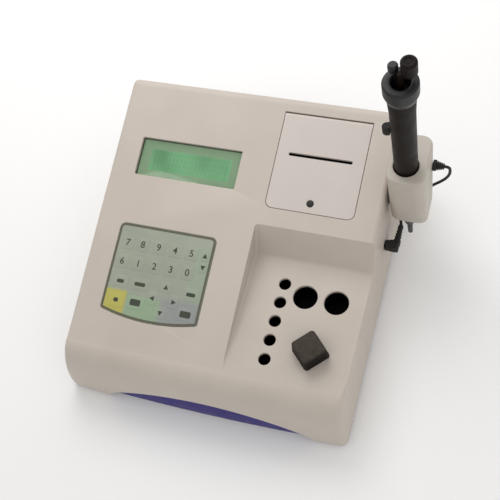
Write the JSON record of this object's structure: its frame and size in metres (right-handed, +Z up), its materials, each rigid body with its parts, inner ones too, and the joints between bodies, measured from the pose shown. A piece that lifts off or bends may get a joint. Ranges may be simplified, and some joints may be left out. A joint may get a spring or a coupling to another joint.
{
  "type": "coagulation analyser",
  "caption": "Benchtop clot timer with keypad, display, strip printer, warmed tube wells and a pipette in a side holster.",
  "frame": {"origin": "on the table, below the middle of the object without its lead", "axes": "+Z up, +X to the right and along the width, -Y towards the user"},
  "size_m": [0.3111, 0.2781, 0.2804],
  "materials": {
    "case_plastic": "fine grained moulded ABS, beige grey",
    "tray_plastic": "moulded ABS, dark violet blue",
    "steel": "zinc plated or stainless steel",
    "black_plastic": "black moulded plastic",
    "charcoal_plastic": "charcoal moulded plastic",
    "grey_plastic": "dark grey moulded plastic",
    "black_rubber": "soft black rubber or PVC",
    "clear_window": "clear acrylic",
    "lens_glass": "clear lamp body",
    "lcd_green": "reflective green liquid crystal panel",
    "board_green": "solder masked fibreglass board",
    "keypad_film": "printed polyester membrane",
    "amber_film": "polyimide film",
    "paper_white": "thermal paper",
    "white_nylon": "nylon",
    "brass": "machined brass",
    "supply_metal": "varnished transformer and board",
    "block_aluminium": "black anodised aluminium",
    "holster_plastic": "moulded plastic, off white"
  },
  "bodies": {
    "analyser": {"upper_case": "case_plastic", "base_tray": "tray_plastic", "rubber_foot_1": "black_rubber", "case_screw_1": "steel", "rubber_foot_2": "black_rubber", "case_screw_2": "steel", "rubber_foot_3": "black_rubber", "case_screw_3": "steel", "rubber_foot_4": "black_rubber", "case_screw_4": "steel", "rear_panel": "steel", "cover_hinge_pin": "steel", "holster_bracket": "steel", "stirrer_motor": "steel", "feed_motor": "steel", "print_head": "steel", "display_bezel": "steel", "serial_port": "steel", "power_inlet": "black_plastic", "switch_frame": "black_plastic", "printer_cradle": "black_plastic", "cell_housing": "black_plastic", "side_socket": "black_plastic", "cell_sensor": "black_plastic", "lead_plug": "black_rubber", "lead_gland": "black_rubber", "lead": "black_rubber", "display_window": "clear_window", "lcd_panel": "lcd_green", "display_board": "board_green", "main_board": "board_green", "keypad_overlay": "keypad_film", "keypad_circuit": "amber_film", "heater_pad": "amber_film", "power_supply": "supply_metal", "heating_block": "block_aluminium", "holster": "holster_plastic", "cell_lamp": "lens_glass"},
    "printer_cover": {"printer_cover": "case_plastic"},
    "cover_latch": {"cover_latch_button": "black_plastic"},
    "paper_roll": {"paper_roll": "paper_white"},
    "platen": {"platen_roller": "black_rubber", "platen_gear": "white_nylon"},
    "feed_pinion": {"feed_pinion": "brass"},
    "measuring_cap": {"measuring_cap": "charcoal_plastic"},
    "stirrer": {"stirrer_rotor": "steel"},
    "switch_rocker": {"switch_rocker": "black_rubber"},
    "pipette": {"pipette_handle": "charcoal_plastic", "pipette_collar": "grey_plastic", "finger_rest": "black_rubber", "pipette_shaft": "grey_plastic", "plunger_spring": "steel"},
    "plunger": {"plunger": "charcoal_plastic"},
    "ejector": {"ejector_button": "grey_plastic", "ejector_sleeve": "grey_plastic"}
  },
  "joints": [
    {"name": "printer_cover_hinge", "type": "hinge", "parent": "analyser", "child": "printer_cover", "pos_m": [0.04925, 0.12069, 0.10471], "axis": [-1, 0, 0], "range_deg": [0, 95]},
    {"name": "cover_latch_press", "type": "slide", "parent": "printer_cover", "child": "cover_latch", "axis": [0, 0.2028, -0.9792], "range_m": [0, 0.0015], "stiffness_N_per_m": 300, "springref_m": -0.001},
    {"name": "paper_roll_spin", "type": "hinge", "parent": "analyser", "child": "paper_roll", "pos_m": [0.04925, 0.06552, 0.07031], "axis": [1, 0, 0], "continuous": true},
    {"name": "platen_spin", "type": "hinge", "parent": "analyser", "child": "platen", "pos_m": [0.04925, 0.08771, 0.08889], "axis": [1, 0, 0], "continuous": true},
    {"name": "feed_pinion_spin", "type": "hinge", "parent": "analyser", "child": "feed_pinion", "pos_m": [0.04925, 0.09366, 0.07988], "axis": [1, 0, 0], "continuous": true},
    {"name": "measuring_cap_lift", "type": "slide", "parent": "analyser", "child": "measuring_cap", "axis": [0, 0, 1], "range_m": [0, 0.05]},
    {"name": "stirrer_spin", "type": "hinge", "parent": "analyser", "child": "stirrer", "pos_m": [0.07625, -0.0787, 0.02], "axis": [0, 0, 1], "continuous": true},
    {"name": "power_switch_rock", "type": "hinge", "parent": "analyser", "child": "switch_rocker", "pos_m": [-0.05175, 0.129, 0.034], "axis": [-1, 0, 0], "range_deg": [0, 16]},
    {"name": "pipette_lift", "type": "slide", "parent": "analyser", "child": "pipette", "axis": [0, 0, 1], "range_m": [0, 0.12]},
    {"name": "plunger_press", "type": "slide", "parent": "pipette", "child": "plunger", "axis": [0, 0, -1], "range_m": [0, 0.006], "stiffness_N_per_m": 400, "springref_m": -0.003, "deforming": ["plunger_spring"]},
    {"name": "ejector_press", "type": "slide", "parent": "pipette", "child": "ejector", "axis": [0, 0, -1], "range_m": [0, 0.005], "stiffness_N_per_m": 400, "springref_m": -0.002}
  ],
  "couplings": [
    {"joint": "feed_pinion_spin", "follows": "platen_spin", "ratio": -2}
  ]
}
